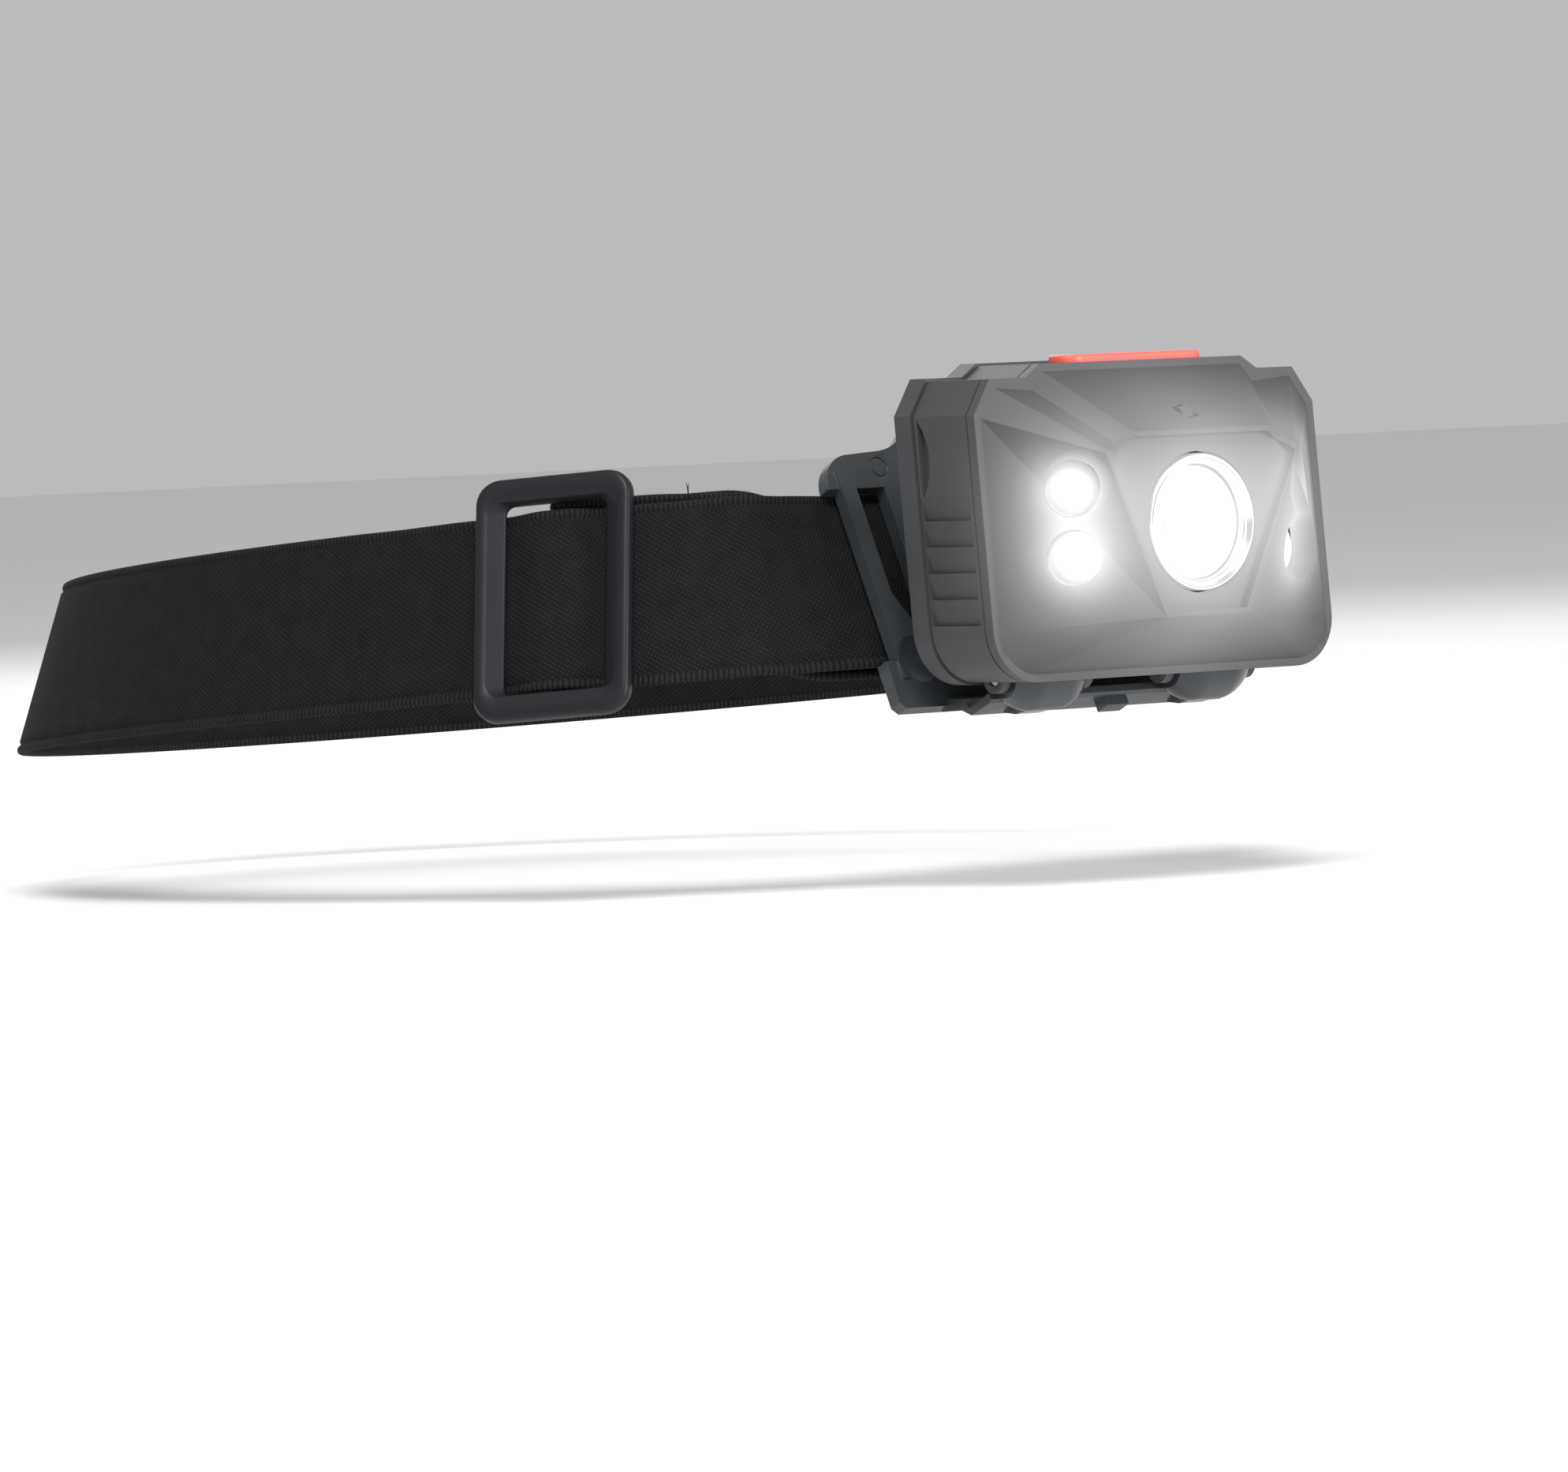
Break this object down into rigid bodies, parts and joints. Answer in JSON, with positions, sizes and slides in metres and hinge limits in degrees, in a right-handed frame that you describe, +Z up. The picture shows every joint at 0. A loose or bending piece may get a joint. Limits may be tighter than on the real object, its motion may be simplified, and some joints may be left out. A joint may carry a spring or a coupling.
{
  "type": "headlamp",
  "caption": "Tilting strap headlamp: faceted lamp head with a round main light and side lights, hinged on a leaning bracket, elastic webbing loop and slider.",
  "frame": {"origin": "middle of the rear face of the pad behind the bracket, which rests on the helmet or brow", "axes": "+Z up, the lamp shines towards -Y, +X is the wearer's left; the strap loop runs back along +Y"},
  "size_m": [0.1872, 0.2588, 0.0614],
  "materials": {
    "casing": "moulded, fine satin texture, gunmetal grey",
    "bracket_plastic": "moulded, semi-gloss blue-grey",
    "button": "satin red cap",
    "clear_lens": "clear, polished",
    "led": "lit white emitter",
    "bright_trim": "vacuum-coated mirror",
    "circuit_board": "green solder mask",
    "steel": "nickel-plated",
    "cell": "plain printed sleeve",
    "rubber": "soft matt rubber",
    "black_plastic": "dark moulded",
    "slider_plastic": "semi-gloss dark slate",
    "webbing": "woven elastic webbing, black"
  },
  "bodies": {
    "bracket_assembly": {"bracket": "bracket_plastic", "rear_pad": "rubber", "strap_band": "webbing", "strap_return": "webbing", "strap_sewn_end": "webbing", "slider": "slider_plastic"},
    "lamp_head": {"front_bezel": "casing", "sensor_window": "black_plastic", "motion_sensor": "black_plastic", "main_lens_ring": "bright_trim", "main_lens": "clear_lens", "reflector": "bright_trim", "main_led": "led", "main_board": "circuit_board", "housing": "casing", "front_gasket": "rubber", "battery_cover": "casing", "tact_switch": "black_plastic", "side_board_left": "circuit_board", "contact_plate_left": "steel", "hinge_pin_left": "steel", "side_lens_upper_left": "clear_lens", "side_led_upper_left": "led", "side_lens_lower_left": "clear_lens", "side_led_lower_left": "led", "side_board_right": "circuit_board", "contact_plate_right": "steel", "hinge_pin_right": "steel", "side_lens_upper_right": "clear_lens", "side_led_upper_right": "led", "side_lens_lower_right": "clear_lens", "side_led_lower_right": "led", "cell_1": "cell", "contact_spring_1": "steel", "cell_2": "cell", "contact_spring_2": "steel", "cell_3": "cell", "contact_spring_3": "steel"},
    "power_button": {"power_button": "button"}
  },
  "joints": [
    {"name": "lamp_tilt", "type": "hinge", "parent": "bracket_assembly", "child": "lamp_head", "pos_m": [0, -0.02918, -0.01288], "axis": [1, 0, 0], "range_deg": [-25, 50]},
    {"name": "button_press", "type": "slide", "parent": "lamp_head", "child": "power_button", "axis": [0, 0, -1], "range_m": [0, 0.0008], "stiffness_N_per_m": 1500, "springref_m": -0.0004}
  ]
}
